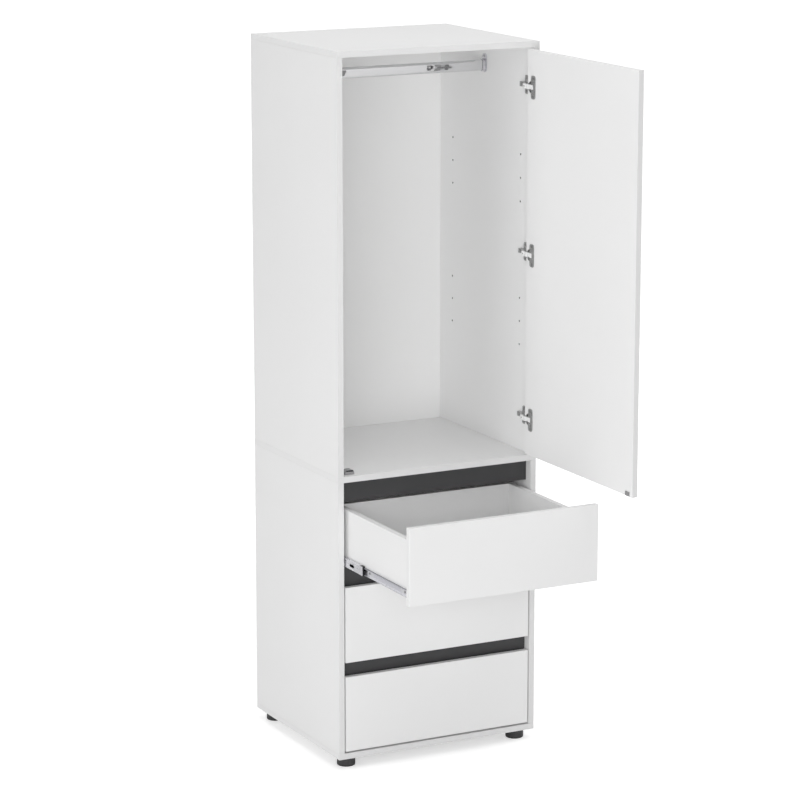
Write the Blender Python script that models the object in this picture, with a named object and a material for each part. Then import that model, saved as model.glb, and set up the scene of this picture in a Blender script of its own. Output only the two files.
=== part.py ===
"""Free-standing white wardrobe: hanging compartment with one inset door over three inset drawers.

Metres, +Z up, the front faces -Y, the floor is Z = 0. Every piece is built where it sits with the
door and the drawers shut. The empties then put the door and the drawers in the pose they rest in.
"""
import math

import bmesh
import bpy
from mathutils import Matrix, Vector

for old in list(bpy.data.objects):
    bpy.data.objects.remove(old, do_unlink=True)

# Carcass
WIDTH = 0.600
DEPTH = 0.530
BOARD = 0.016
UPPER_CLEAR = 1.108
LOWER_CLEAR = 0.750
BACK_BOARD = 0.003
BACK_INSET = 0.0015
SEAT = 0.0003

# Feet
FOOT_HEIGHT = 0.028
FOOT_RADIUS = 0.025
FOOT_INSET = 0.039
FOOT_ROUND = 0.002

# Door and drawer fronts, all inset between the boards
FRONT_GAP = 0.004
FLOOR_GAP = 0.005
FINGER_GAP = 0.040
ARRIS = 0.0006
DOOR_OPEN = math.radians(90)

# Dark boards behind the finger gaps
HANDLE_BEHIND = 0.010
HANDLE_DROP = 0.019
HANDLE_UNDER_SLIDE = 0.0035

# Shelf pin holes
PIN_HOLE = 0.005
PIN_DEPTH = 0.011
PIN_PITCH = 0.064
PIN_GROUP = 3
PIN_GROUP_SPREAD = 0.392
PIN_FRONT = 0.070
PIN_REAR = 0.0727

# Clothes rail and its end sockets
RAIL_TALL = 0.030
RAIL_WIDE = 0.015
RAIL_WALL = 0.001
RAIL_DROP = 0.0735
RAIL_FROM_FRONT = 0.271
SOCKET_PLATE = 0.0025
SOCKET_REACH = 0.011
SOCKET_WALL = 0.0022
SOCKET_LUG = 0.014
SOCKET_SCREW = 0.0042

# Concealed hinges
HINGE_FROM_END = 0.099
CUP_DIAMETER = 0.035
CUP_FROM_EDGE = 0.0225
CUP_WALL = 0.0014
CUP_FLOOR = 0.0006
CUP_RIM = 0.0005
CUP_FLANGE_WIDE = 0.022
CUP_FLANGE_TALL = 0.062
CUP_FLANGE_THICK = 0.0015
ARM_HALF = 0.0065
ARM_STEEL = 0.0012
ARM_SINK = 0.0075
ARM_FRONT = 0.020
ARM_REAR = 0.063
ARM_REAR_RISE = 0.009
ARM_BASE_FRONT = 0.027
CHEEK_STEEL = 0.0015
CHEEK_RISE = 0.0042
WING_FROM_FRONT = 0.037
WING_WIDE = 0.018
WING_TALL = 0.050
WING_THICK = 0.0018
WING_SCREWS = 0.036
CUP_SCREWS = 0.048
HINGE_SCREW = 0.0046
ARM_ROUND = 0.0009
HINGE_PLAY = 0.0004

# Magnet catch and its strike plate
STRIKE_FROM_EDGE = 0.0225
STRIKE_WIDE = 0.0206
STRIKE_TALL = 0.0124
STRIKE_THICK = 0.0012
STRIKE_LIFT = 0.0008
STRIKE_HOLE = 0.0036
CATCH_WIDE = 0.027
CATCH_TALL = 0.0140
CATCH_DEEP = 0.018
CATCH_ROUND = 0.010

# Drawers
DRAWERS = 3
BOX_DROP = 0.037
BOX_LIFT = 0.021
BOX_BEHIND = 0.0737
DRAWER_BASE = 0.003
BASE_LIFT = 0.008
GROOVE_DEPTH = 0.006
PULLED_DRAWER = 0
PULL_LEFT = 0.0324

# Three-part ball slides
SLIDE_SPACE = 0.0127
SLIDE_SHORTER = 0.037
SLIDE_SETBACK = 0.004
RUNNER_SETBACK = 0.002
SLIDE_LIFT = 0.031
SLIDE_STEEL = 0.0012
SLIDE_TALL = 0.035
SLIDE_BEND = 0.002
BALL_GAP = 0.00355
MID_SETBACK = 0.062
MID_SHORTER = 0.008
MID_SHARE = 0.5
MID_STANDOFF = 0.003
CABINET_CLEAR = 0.0027
MID_CLEAR = 0.0019
RUNNER_CLEAR = 0.0005
CAGE_CLEAR = 0.004
CAGE_FROM_REAR = 0.010
CAGE_WIDE = 0.0035
END_LENGTH = 0.022
END_WALL = 0.0027
END_PROUD = 0.00015
MID_SLOT_LONG = 0.027
MID_SLOT_TALL = 0.008
MID_SLOT_FROM_FRONT = 0.062
SCREW_HOLE = 0.0046
SCREW_SLOT = 0.0128
CABINET_HOLE_FRONT = 0.035
CABINET_HOLE_REAR = 0.060
RUNNER_HOLES = (0.020, 0.220)
RIB_FROM_FRONT = 0.049
RIB_LONG = 0.144
RIB_TALL = 0.009
RIB_RISE = 0.0012

ROUND_SIDES = 24
HOLE_SIDES = 12
LINK_STEPS = 6
BEND_STEPS = 3

# Derived levels and planes
INNER = WIDTH / 2 - BOARD
PANEL_DEPTH = DEPTH - BACK_BOARD - SEAT
BOTTOM_TOP = FOOT_HEIGHT + BOARD
MIDDLE_UNDER = BOTTOM_TOP + LOWER_CLEAR
MIDDLE_TOP = MIDDLE_UNDER + BOARD
TOP_UNDER = MIDDLE_TOP + UPPER_CLEAR
TOP = TOP_UNDER + BOARD
FRONT_HALF = INNER - FRONT_GAP
DOOR_WIDTH = 2 * FRONT_HALF
DOOR_TALL = UPPER_CLEAR - FLOOR_GAP - FRONT_GAP
DOOR_LOW = MIDDLE_TOP + FLOOR_GAP
DRAWER_PITCH = (LOWER_CLEAR - FLOOR_GAP) / DRAWERS
DRAWER_TALL = DRAWER_PITCH - FINGER_GAP
BOX_LENGTH = PANEL_DEPTH - BOARD - BOX_BEHIND
SLIDE_LENGTH = BOX_LENGTH - SLIDE_SHORTER
DRAWER_PULL = [SLIDE_LENGTH - PULL_LEFT if k == PULLED_DRAWER else 0.0 for k in range(DRAWERS)]
# The cup is sunk until the arm's nose reaches the cheeks on the cup
CUP_DEPTH = BOARD + CUP_FLOOR + 2 * SEAT - FRONT_GAP
# The slide's sections nest in each other, and its cages stop short of the middle member's front end
MID_LENGTH = SLIDE_LENGTH - MID_SETBACK - MID_SHORTER
MID_TALL = SLIDE_TALL - 2 * (SLIDE_STEEL + BALL_GAP)
RUNNER_TALL = MID_TALL - 2 * (END_WALL + SEAT)
CABINET_REACH = SLIDE_SPACE - CABINET_CLEAR
MID_REACH = SLIDE_SPACE - MID_CLEAR
RUNNER_STANDOFF = MID_STANDOFF + END_WALL + RUNNER_CLEAR
CAGE_SPAN = SLIDE_LENGTH * (1 - MID_SHARE) - MID_SETBACK - END_LENGTH - RUNNER_SETBACK - CAGE_CLEAR
# The origin lies under the middle of the piece as it rests, with the door swung out
FRONT = (DOOR_WIDTH - DEPTH) / 2


def drawer_low(index):
    """Lower edge of a drawer front, counted from the top drawer."""
    return BOTTOM_TOP + FLOOR_GAP + (DRAWERS - 1 - index) * DRAWER_PITCH


def material(name, colour, roughness, metallic=0.0):
    made = bpy.data.materials.new(name)
    made.use_nodes = True
    shader = made.node_tree.nodes["Principled BSDF"]
    shader.inputs["Base Color"].default_value = (*colour, 1.0)
    shader.inputs["Roughness"].default_value = roughness
    shader.inputs["Metallic"].default_value = metallic
    return made


WHITE = material("white_melamine", (0.83, 0.83, 0.82), 0.42)
BACK_WHITE = material("white_back_board", (0.78, 0.78, 0.77), 0.55)
ANTHRACITE = material("anthracite_melamine", (0.018, 0.018, 0.020), 0.50)
CHROME = material("chrome", (0.78, 0.79, 0.80), 0.12, 1.0)
NICKEL = material("nickel_plated_steel", (0.46, 0.46, 0.46), 0.30, 1.0)
ZINC = material("zinc_plated_steel", (0.62, 0.63, 0.64), 0.34, 1.0)
BLACK_PLASTIC = material("black_plastic", (0.022, 0.022, 0.023), 0.48)
GREY_PLASTIC = material("grey_plastic", (0.11, 0.11, 0.115), 0.50)


def empty(name, location, angle=0.0):
    made = bpy.data.objects.new(name, None)
    made.empty_display_size = 0.05
    made.location = location
    made.rotation_euler = (0.0, 0.0, angle)
    bpy.context.scene.collection.objects.link(made)
    return made


CARCASS = empty("carcass_frame", (0.0, FRONT, 0.0))
HINGE_AXIS = empty("door_axis", (FRONT_HALF, FRONT, DOOR_LOW), DOOR_OPEN)
DRAWER_FRAMES = []
MID_FRAMES = []
for number, pull in enumerate(DRAWER_PULL):
    level = drawer_low(number)
    DRAWER_FRAMES.append(empty(f"drawer_{number + 1}_frame", (0.0, FRONT - pull, level)))
    MID_FRAMES.append(empty(f"mid_{number + 1}_frame", (0.0, FRONT - pull * MID_SHARE, level)))


def place(name, bm, finish, parent, location, smooth=False):
    """Turn a mesh built round its own origin into a named object at its place."""
    bmesh.ops.recalc_face_normals(bm, faces=bm.faces)
    mesh = bpy.data.meshes.new(name)
    bm.to_mesh(mesh)
    bm.free()
    if finish is not None:
        mesh.materials.append(finish)
    if smooth:
        mesh.shade_smooth()
        mesh.set_sharp_from_angle(angle=math.radians(35))
    made = bpy.data.objects.new(name, mesh)
    made.parent = parent
    made.location = location
    bpy.context.scene.collection.objects.link(made)
    return made


def block(size):
    bm = bmesh.new()
    bmesh.ops.create_cube(bm, size=1.0, matrix=Matrix.Diagonal((*size, 1.0)))
    return bm


def board(name, finish, parent, x, y, z, arris=0.0):
    """A square-edged board between two planes on each axis, its edges eased where they show."""
    size = Vector((x[1] - x[0], y[1] - y[0], z[1] - z[0]))
    centre = Vector((x[0] + x[1], y[0] + y[1], z[0] + z[1])) / 2
    made = place(name, block(size), finish, parent, centre)
    if arris:
        ease = made.modifiers.new("eased_edges", "BEVEL")
        ease.width = arris
        ease.segments = 1
    return made


def prism(outline, axis, start, end):
    """An outline in the two other axes, in XYZ order, drawn out along one axis."""
    bm = bmesh.new()
    corners = []
    for first, second in outline:
        point = [first, second]
        point.insert("XYZ".index(axis), start)
        corners.append(bm.verts.new(point))
    face = bm.faces.new(corners)
    drawn = bmesh.ops.extrude_face_region(bm, geom=[face])
    moved = [item for item in drawn["geom"] if isinstance(item, bmesh.types.BMVert)]
    travel = [0.0, 0.0, 0.0]
    travel["XYZ".index(axis)] = end - start
    bmesh.ops.translate(bm, verts=moved, vec=travel)
    return bm


def turned(profile, sides=ROUND_SIDES):
    """A profile of (radius, height) points, from axis to axis, turned round Z."""
    bm = bmesh.new()
    line = [bm.verts.new((radius, 0.0, height)) for radius, height in profile]
    edges = [bm.edges.new(pair) for pair in zip(line, line[1:])]
    bmesh.ops.spin(bm, geom=line + edges, cent=(0, 0, 0), axis=(0, 0, 1),
                   angle=2 * math.pi, steps=sides, use_merge=True)
    bmesh.ops.remove_doubles(bm, verts=bm.verts, dist=1e-6)
    return bm


def circle(radius, sides, centre=(0.0, 0.0)):
    turn = 2 * math.pi / sides
    return [(centre[0] + radius * math.cos(turn * (k + 0.5)),
             centre[1] + radius * math.sin(turn * (k + 0.5))) for k in range(sides)]


def rounded(width, height, radius, steps=4):
    """A rectangle about the origin with round corners."""
    points = []
    for quarter, (sx, sy) in enumerate(((1, 1), (-1, 1), (-1, -1), (1, -1))):
        cx = sx * (width / 2 - radius)
        cy = sy * (height / 2 - radius)
        for step in range(steps + 1):
            angle = math.pi / 2 * (quarter + step / steps)
            points.append((cx + radius * math.cos(angle), cy + radius * math.sin(angle)))
    return points


def oval(wide, tall, steps=10):
    """Two half circles joined by straight sides, upright."""
    radius = wide / 2
    points = []
    for half, centre in ((0, tall / 2 - radius), (1, radius - tall / 2)):
        for step in range(steps + 1):
            angle = math.pi * (half + step / steps)
            points.append((radius * math.cos(angle), centre + radius * math.sin(angle)))
    return points


def combine(target, helper, operation):
    """Cut a helper shape out of a piece, or join it on."""
    helper.hide_render = True
    helper.display_type = "WIRE"
    step = target.modifiers.new(helper.name, "BOOLEAN")
    step.operation = operation
    step.object = helper
    return target


def merge(parts):
    """Several separate shapes as one helper mesh."""
    whole = bmesh.new()
    for bm in parts:
        passing = bpy.data.meshes.new("passing")
        bmesh.ops.recalc_face_normals(bm, faces=bm.faces)
        bm.to_mesh(passing)
        bm.free()
        whole.from_mesh(passing)
        bpy.data.meshes.remove(passing)
    return whole


# Carcass boards: three full-width panels, with the sides standing between them
half = WIDTH / 2
for name, low in (("bottom_panel", FOOT_HEIGHT), ("middle_panel", MIDDLE_UNDER), ("top_panel", TOP_UNDER)):
    board(name, WHITE, CARCASS, (-half, half), (0.0, PANEL_DEPTH), (low, low + BOARD))

sides = {}
for hand, sign in (("left", -1), ("right", 1)):
    span = sorted((sign * INNER, sign * half))
    for level, low, high in (("lower", BOTTOM_TOP, MIDDLE_UNDER), ("upper", MIDDLE_TOP, TOP_UNDER)):
        name = f"{level}_side_{hand}"
        sides[name] = board(name, WHITE, CARCASS, span, (0.0, PANEL_DEPTH), (low + SEAT, high - SEAT))

edge = half - BACK_INSET
board("back_panel", BACK_WHITE, CARCASS, (-edge, edge), (PANEL_DEPTH + SEAT, DEPTH),
      (FOOT_HEIGHT + BACK_INSET, TOP - BACK_INSET))

# Shelf pin holes: two columns of two groups on each upper side
middle = (MIDDLE_TOP + TOP_UNDER) / 2
for hand, sign in (("left", -1), ("right", 1)):
    drills = []
    for column in (PIN_FRONT, PANEL_DEPTH - PIN_REAR):
        for group in (-PIN_GROUP_SPREAD / 2, PIN_GROUP_SPREAD / 2):
            for pin in range(PIN_GROUP):
                lift = middle + group + (pin - (PIN_GROUP - 1) / 2) * PIN_PITCH
                ring = circle(PIN_HOLE / 2, HOLE_SIDES, (column, lift))
                drills.append(prism(ring, "X", sign * (INNER - SEAT), sign * (INNER + PIN_DEPTH)))
    cutter = place(f"pin_drill_{hand}", merge(drills), None, CARCASS, (0.0, 0.0, 0.0))
    combine(sides[f"upper_side_{hand}"], cutter, "DIFFERENCE")

# Feet: plain turned pads under the bottom panel
foot_top = FOOT_HEIGHT - SEAT
foot_profile = [(0.0, 0.0), (FOOT_RADIUS - FOOT_ROUND, 0.0), (FOOT_RADIUS, FOOT_ROUND),
                (FOOT_RADIUS, foot_top - FOOT_ROUND / 2), (FOOT_RADIUS - FOOT_ROUND / 2, foot_top),
                (0.0, foot_top)]
for row, depth in (("front", FOOT_INSET), ("rear", PANEL_DEPTH - FOOT_INSET)):
    for hand, sign in (("left", -1), ("right", 1)):
        place(f"foot_{row}_{hand}", turned(foot_profile), BLACK_PLASTIC, CARCASS,
              (sign * (half - FOOT_INSET), depth, 0.0), smooth=True)

# Dark boards that close the finger gaps from behind, each ending under the slides of the drawer above
handle_front = BOARD + HANDLE_BEHIND
handle_rise = SLIDE_LIFT - SLIDE_TALL / 2 - HANDLE_UNDER_SLIDE
for number in range(DRAWERS):
    front_top = drawer_low(number) + DRAWER_TALL
    above = MIDDLE_UNDER - SEAT if number == 0 else drawer_low(number - 1) + handle_rise
    board(f"handle_board_{number + 1}", ANTHRACITE, CARCASS, (SEAT - INNER, INNER - SEAT),
          (handle_front, handle_front + BOARD), (front_top - HANDLE_DROP, above))

# Clothes rail: an oval tube held in two end sockets
rail_level = TOP_UNDER - RAIL_DROP
rail_half = INNER - SEAT - SOCKET_PLATE - SEAT
rail = place("clothes_rail", prism(oval(RAIL_WIDE, RAIL_TALL), "X", -rail_half, rail_half), CHROME,
             CARCASS, (0.0, RAIL_FROM_FRONT, rail_level), smooth=True)
bore = prism(oval(RAIL_WIDE - 2 * RAIL_WALL, RAIL_TALL - 2 * RAIL_WALL), "X", -INNER, INNER)
combine(rail, place("rail_bore", bore, None, CARCASS, rail.location), "DIFFERENCE")

socket_wide = RAIL_WIDE + 2 * (SOCKET_WALL + SEAT)
socket_tall = RAIL_TALL + 2 * (SOCKET_WALL + SEAT)
lug_level = socket_tall / 2 + SOCKET_LUG / 2
foot_wide = socket_wide + 2 * SOCKET_WALL
foot_low = -socket_tall / 2 - SOCKET_WALL
foot_high = socket_tall / 2 + SOCKET_LUG
for hand, sign in (("left", -1), ("right", 1)):
    seat = Vector((sign * (INNER - SEAT), RAIL_FROM_FRONT, rail_level))
    ring = [(y, z + (foot_low + foot_high) / 2) for y, z in oval(foot_wide, foot_high - foot_low)]
    plate = prism(ring, "X", 0.0, -sign * SOCKET_PLATE)
    socket = place(f"rail_socket_{hand}", plate, CHROME, CARCASS, seat, smooth=True)
    collar = prism(oval(socket_wide, socket_tall), "X", -sign * SOCKET_PLATE / 2, -sign * SOCKET_REACH)
    combine(socket, place(f"collar_{hand}", collar, None, CARCASS, seat), "UNION")
    pocket = prism(oval(RAIL_WIDE + 2 * SEAT, RAIL_TALL + 2 * SEAT), "X",
                   -sign * SOCKET_PLATE, -sign * SOCKET_REACH * 2)
    combine(socket, place(f"pocket_{hand}", pocket, None, CARCASS, seat), "DIFFERENCE")
    hole = prism(circle(SOCKET_SCREW / 2, HOLE_SIDES, (0.0, lug_level)), "X",
                 sign * SOCKET_PLATE, -sign * SOCKET_PLATE * 2)
    combine(socket, place(f"socket_drill_{hand}", hole, None, CARCASS, seat), "DIFFERENCE")

# Door, modelled shut in the frame of its hinge axis: X runs back to the free edge as -X
door = board("door_panel", WHITE, HINGE_AXIS, (-DOOR_WIDTH, 0.0), (0.0, BOARD), (0.0, DOOR_TALL), ARRIS)
hinge_levels = (HINGE_FROM_END, DOOR_TALL / 2, DOOR_TALL - HINGE_FROM_END)
bores = []
for lift in hinge_levels:
    ring = circle(CUP_DIAMETER / 2, ROUND_SIDES, (-CUP_FROM_EDGE, lift))
    bores.append(prism(ring, "Y", BOARD - CUP_DEPTH, BOARD + CUP_DEPTH))
combine(door, place("cup_bores", merge(bores), None, HINGE_AXIS, (0.0, 0.0, 0.0)), "DIFFERENCE")

# The arm's nose turns about the door's outer corner and has to pass the cup's rim on its way in
face = BOARD + SEAT
cup_low = BOARD - CUP_DEPTH + SEAT
cup_outline = CUP_DIAMETER / 2 - SEAT
cup_rim = face + CUP_RIM
rim_near = CUP_FROM_EDGE - math.sqrt((cup_outline - CUP_WALL) ** 2 - ARM_HALF ** 2)
rim_radius = math.hypot(cup_rim, rim_near) + HINGE_PLAY
nose = FRONT_GAP
tongue_in = FRONT_GAP + math.sqrt(rim_radius ** 2 - nose ** 2)
tongue_out = tongue_in + ARM_STEEL
arm_in = tongue_out - ARM_SINK
bar_front = math.sqrt(rim_radius ** 2 - (arm_in - FRONT_GAP) ** 2)
flange_near = tongue_out - FRONT_GAP + HINGE_PLAY
cup_profile = [(0.0, cup_low), (cup_outline, cup_low), (cup_outline, cup_rim),
               (cup_outline - CUP_WALL, cup_rim),
               (cup_outline - CUP_WALL, cup_low + CUP_FLOOR), (0.0, cup_low + CUP_FLOOR)]
arm_back = [(tongue_out, nose), (tongue_out, ARM_FRONT),
            (ARM_REAR_RISE, WING_FROM_FRONT + WING_WIDE / 2), (ARM_REAR_RISE, ARM_REAR)]
arm_outline = [(SEAT, ARM_REAR), (SEAT, ARM_BASE_FRONT), (arm_in, ARM_BASE_FRONT), (arm_in, bar_front),
               (tongue_in, bar_front), (tongue_in, nose)] + arm_back
# A link plate between the cheeks, curved round the hinge axis just inside the arm's path
link_radius = rim_radius - HINGE_PLAY
link_low = face + CUP_RIM / 2
link_first = math.atan2(cup_rim, rim_near)
link_last = math.acos((SEAT - FRONT_GAP) / link_radius)
link_outline = [(CUP_FROM_EDGE - rim_near, link_low)]
for step in range(LINK_STEPS + 1):
    angle = link_first + (link_last - link_first) * step / LINK_STEPS
    link_outline.append((CUP_FROM_EDGE - link_radius * math.cos(angle), link_radius * math.sin(angle)))
link_outline.append((CUP_FROM_EDGE + FRONT_GAP - SEAT, link_low))


def arm_bar():
    """The arm's outline at full height, with the long edges of its back rounded."""
    bm = prism([(-inward, along) for inward, along in arm_outline], "Z", -ARM_HALF, ARM_HALF)
    back = [Vector((-inward, along)) for inward, along in arm_back]
    on_back = {vert for vert in bm.verts if min((vert.co.xy - spot).length for spot in back) < SEAT}
    long_edges = []
    for edge in bm.edges:
        lies_along = abs(edge.verts[0].co.z - edge.verts[1].co.z) < SEAT
        if lies_along and on_back.issuperset(edge.verts):
            long_edges.append(edge)
    bmesh.ops.bevel(bm, geom=long_edges, offset=ARM_ROUND, segments=2, profile=0.5, affect="EDGES")
    return bm


for number, lift in enumerate(hinge_levels, start=1):
    # Cup, flange and two cheeks on the door
    bowl = turned(cup_profile)
    bmesh.ops.rotate(bowl, verts=bowl.verts, cent=(0, 0, 0), matrix=Matrix.Rotation(-math.pi / 2, 3, "X"))
    spot = Vector((-CUP_FROM_EDGE, 0.0, lift))
    cup = place(f"hinge_cup_{number}", bowl, NICKEL, HINGE_AXIS, spot, smooth=True)
    reach = flange_near + CUP_FLANGE_WIDE / 2 - CUP_FROM_EDGE
    ring = [(x - reach, z) for x, z in rounded(CUP_FLANGE_WIDE, CUP_FLANGE_TALL, CUP_FLANGE_WIDE * 0.3)]
    flange = prism(ring, "Y", face, face + CUP_FLANGE_THICK)
    combine(cup, place(f"cup_flange_{number}", flange, None, HINGE_AXIS, spot), "UNION")
    cheeks = []
    for sign in (-1, 1):
        near = sign * (ARM_HALF + SEAT)
        far = sign * (ARM_HALF + SEAT + CHEEK_STEEL)
        edge_x = CUP_FROM_EDGE + FRONT_GAP - SEAT
        deep_x = CUP_FROM_EDGE - flange_near - CHEEK_STEEL
        cheek = [(deep_x, link_low), (edge_x, link_low), (edge_x, face + CHEEK_RISE * 0.6),
                 (edge_x - CHEEK_RISE * 0.5, face + CHEEK_RISE), (deep_x, face + CHEEK_RISE)]
        cheeks.append(prism(cheek, "Z", near, far))
    combine(cup, place(f"cup_cheeks_{number}", merge(cheeks), None, HINGE_AXIS, spot), "UNION")
    across = ARM_HALF + SEAT + CHEEK_STEEL / 2
    plate = prism(link_outline, "Z", -across, across)
    combine(cup, place(f"cup_link_{number}", plate, None, HINGE_AXIS, spot), "UNION")
    holes = [prism(circle(HINGE_SCREW / 2, HOLE_SIDES, (-reach, side * CUP_SCREWS / 2)), "Y",
                   face - CUP_FLANGE_THICK, face + CUP_FLANGE_THICK * 2) for side in (-1, 1)]
    combine(cup, place(f"cup_drill_{number}", merge(holes), None, HINGE_AXIS, spot), "DIFFERENCE")

    # Arm and mounting plate on the right-hand side board
    spot = Vector((INNER, 0.0, DOOR_LOW + lift))
    arm = place(f"hinge_arm_{number}", arm_bar(), NICKEL, CARCASS, spot)
    ring = [(y + WING_FROM_FRONT, z) for y, z in rounded(WING_WIDE, WING_TALL, WING_WIDE * 0.3)]
    wing = prism(ring, "X", -SEAT, -SEAT - WING_THICK)
    combine(arm, place(f"hinge_wing_{number}", wing, None, CARCASS, spot), "UNION")
    holes = [prism(circle(HINGE_SCREW / 2, HOLE_SIDES, (WING_FROM_FRONT, side * WING_SCREWS / 2)), "X",
                   WING_THICK, -WING_THICK * 2) for side in (-1, 1)]
    combine(arm, place(f"wing_drill_{number}", merge(holes), None, CARCASS, spot), "DIFFERENCE")

# Strike plate on the door's lower free corner, and the catch that it shuts against
strike_centre = STRIKE_FROM_EDGE - DOOR_WIDTH
ring = rounded(STRIKE_WIDE, STRIKE_TALL, STRIKE_TALL * 0.15, steps=2)
strike_lift = STRIKE_LIFT + STRIKE_TALL / 2
strike = place("strike_plate", prism(ring, "Y", face, face + STRIKE_THICK), GREY_PLASTIC, HINGE_AXIS,
               (strike_centre, 0.0, strike_lift))
hole = prism(circle(STRIKE_HOLE / 2, HOLE_SIDES), "Y", 0.0, BOARD * 2)
combine(strike, place("strike_drill", hole, None, HINGE_AXIS, strike.location), "DIFFERENCE")

catch_front = face + STRIKE_THICK + SEAT
catch = [(-CATCH_WIDE / 2, SEAT), (CATCH_WIDE / 2, SEAT)]
for quarter, sign in ((0, 1), (1, -1)):
    for step in range(6):
        angle = math.pi / 2 * (quarter + step / 5)
        catch.append((sign * (CATCH_WIDE / 2 - CATCH_ROUND) + CATCH_ROUND * math.cos(angle),
                      CATCH_TALL - CATCH_ROUND + CATCH_ROUND * math.sin(angle)))
place("magnet_catch", prism(catch, "Y", 0.0, CATCH_DEEP), GREY_PLASTIC, CARCASS,
      (FRONT_HALF + strike_centre, catch_front, MIDDLE_TOP))

# Drawers: front, two grooved sides, a back that stands on the thin base, and the base in the grooves
box_half = INNER - SLIDE_SPACE
box_low = BOX_LIFT
box_high = DRAWER_TALL - BOX_DROP
groove = (box_low + BASE_LIFT - SEAT, box_low + BASE_LIFT + DRAWER_BASE + SEAT)
box_front = BOARD + SEAT
box_rear = BOARD + BOX_LENGTH
for number, frame in enumerate(DRAWER_FRAMES, start=1):
    board(f"drawer_{number}_front", WHITE, frame, (-FRONT_HALF, FRONT_HALF), (0.0, BOARD),
          (0.0, DRAWER_TALL), ARRIS)
    for hand, sign in (("left", -1), ("right", 1)):
        outer = sign * box_half
        inner = sign * (box_half - BOARD)
        bed = sign * (box_half - BOARD + GROOVE_DEPTH)
        outline = [(outer, box_low), (outer, box_high), (inner, box_high), (inner, groove[1]),
                   (bed, groove[1]), (bed, groove[0]), (inner, groove[0]), (inner, box_low)]
        place(f"drawer_{number}_side_{hand}", prism(outline, "Y", box_front, box_rear), WHITE, frame,
              (0.0, 0.0, 0.0))
    across = box_half - BOARD - SEAT
    board(f"drawer_{number}_back", WHITE, frame, (-across, across), (box_rear - BOARD, box_rear),
          (groove[1], box_high))
    across = box_half - BOARD + GROOVE_DEPTH - SEAT
    board(f"drawer_{number}_base", BACK_WHITE, frame, (-across, across), (box_front, box_rear),
          (groove[0] + SEAT, groove[1] - SEAT))


# Slide sections, across from the carcass side (X from the side's face) and up from their middle
def channel(web, reach, tall, steel, bend):
    """A C section: a web at one reach, its two flanges bent over and running to the other."""
    turn = 1 if reach > web else -1
    high = tall / 2

    def corner(side, depth):
        """The bend from a flange to the web, on the outside or at a depth into the wall."""
        inset = max(bend, depth)
        radius = inset - depth
        steps = BEND_STEPS if radius else 0
        points = []
        for step in range(steps + 1):
            angle = math.pi / 2 * step / max(steps, 1)
            points.append((web + turn * (inset - radius * math.sin(angle)),
                           side * (high - inset + radius * math.cos(angle))))
        return points

    outside = [(reach, -high)] + corner(-1, 0.0) + corner(1, 0.0)[::-1] + [(reach, high)]
    inside = [(reach, high - steel)] + corner(1, steel) + corner(-1, steel)[::-1] + [(reach, steel - high)]
    return outside + inside


def cages(outer_gap, flange, standoff, start, sign):
    """The two ball cages that run between a pair of nested flanges."""
    strips = []
    for side in (-1, 1):
        low = side * (flange / 2 - SLIDE_STEEL / 2)
        high = side * (outer_gap / 2 - SLIDE_STEEL - SEAT)
        outline = [(sign * standoff, low), (sign * (standoff + CAGE_WIDE), low),
                   (sign * (standoff + CAGE_WIDE), high), (sign * standoff, high)]
        strips.append(prism(outline, "Y", start, start + CAGE_SPAN - CAGE_FROM_REAR))
    return merge(strips)


def section(outline, sign, start, end):
    return prism([(sign * x, z) for x, z in outline], "Y", start, end)


def slot(length, tall, centre, sign):
    """A long hole through a web, lying along the slide."""
    ring = [(z + centre, y) for y, z in oval(tall, length)]
    return prism(ring, "X", -sign * SLIDE_SPACE, sign * RUNNER_STANDOFF)


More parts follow.
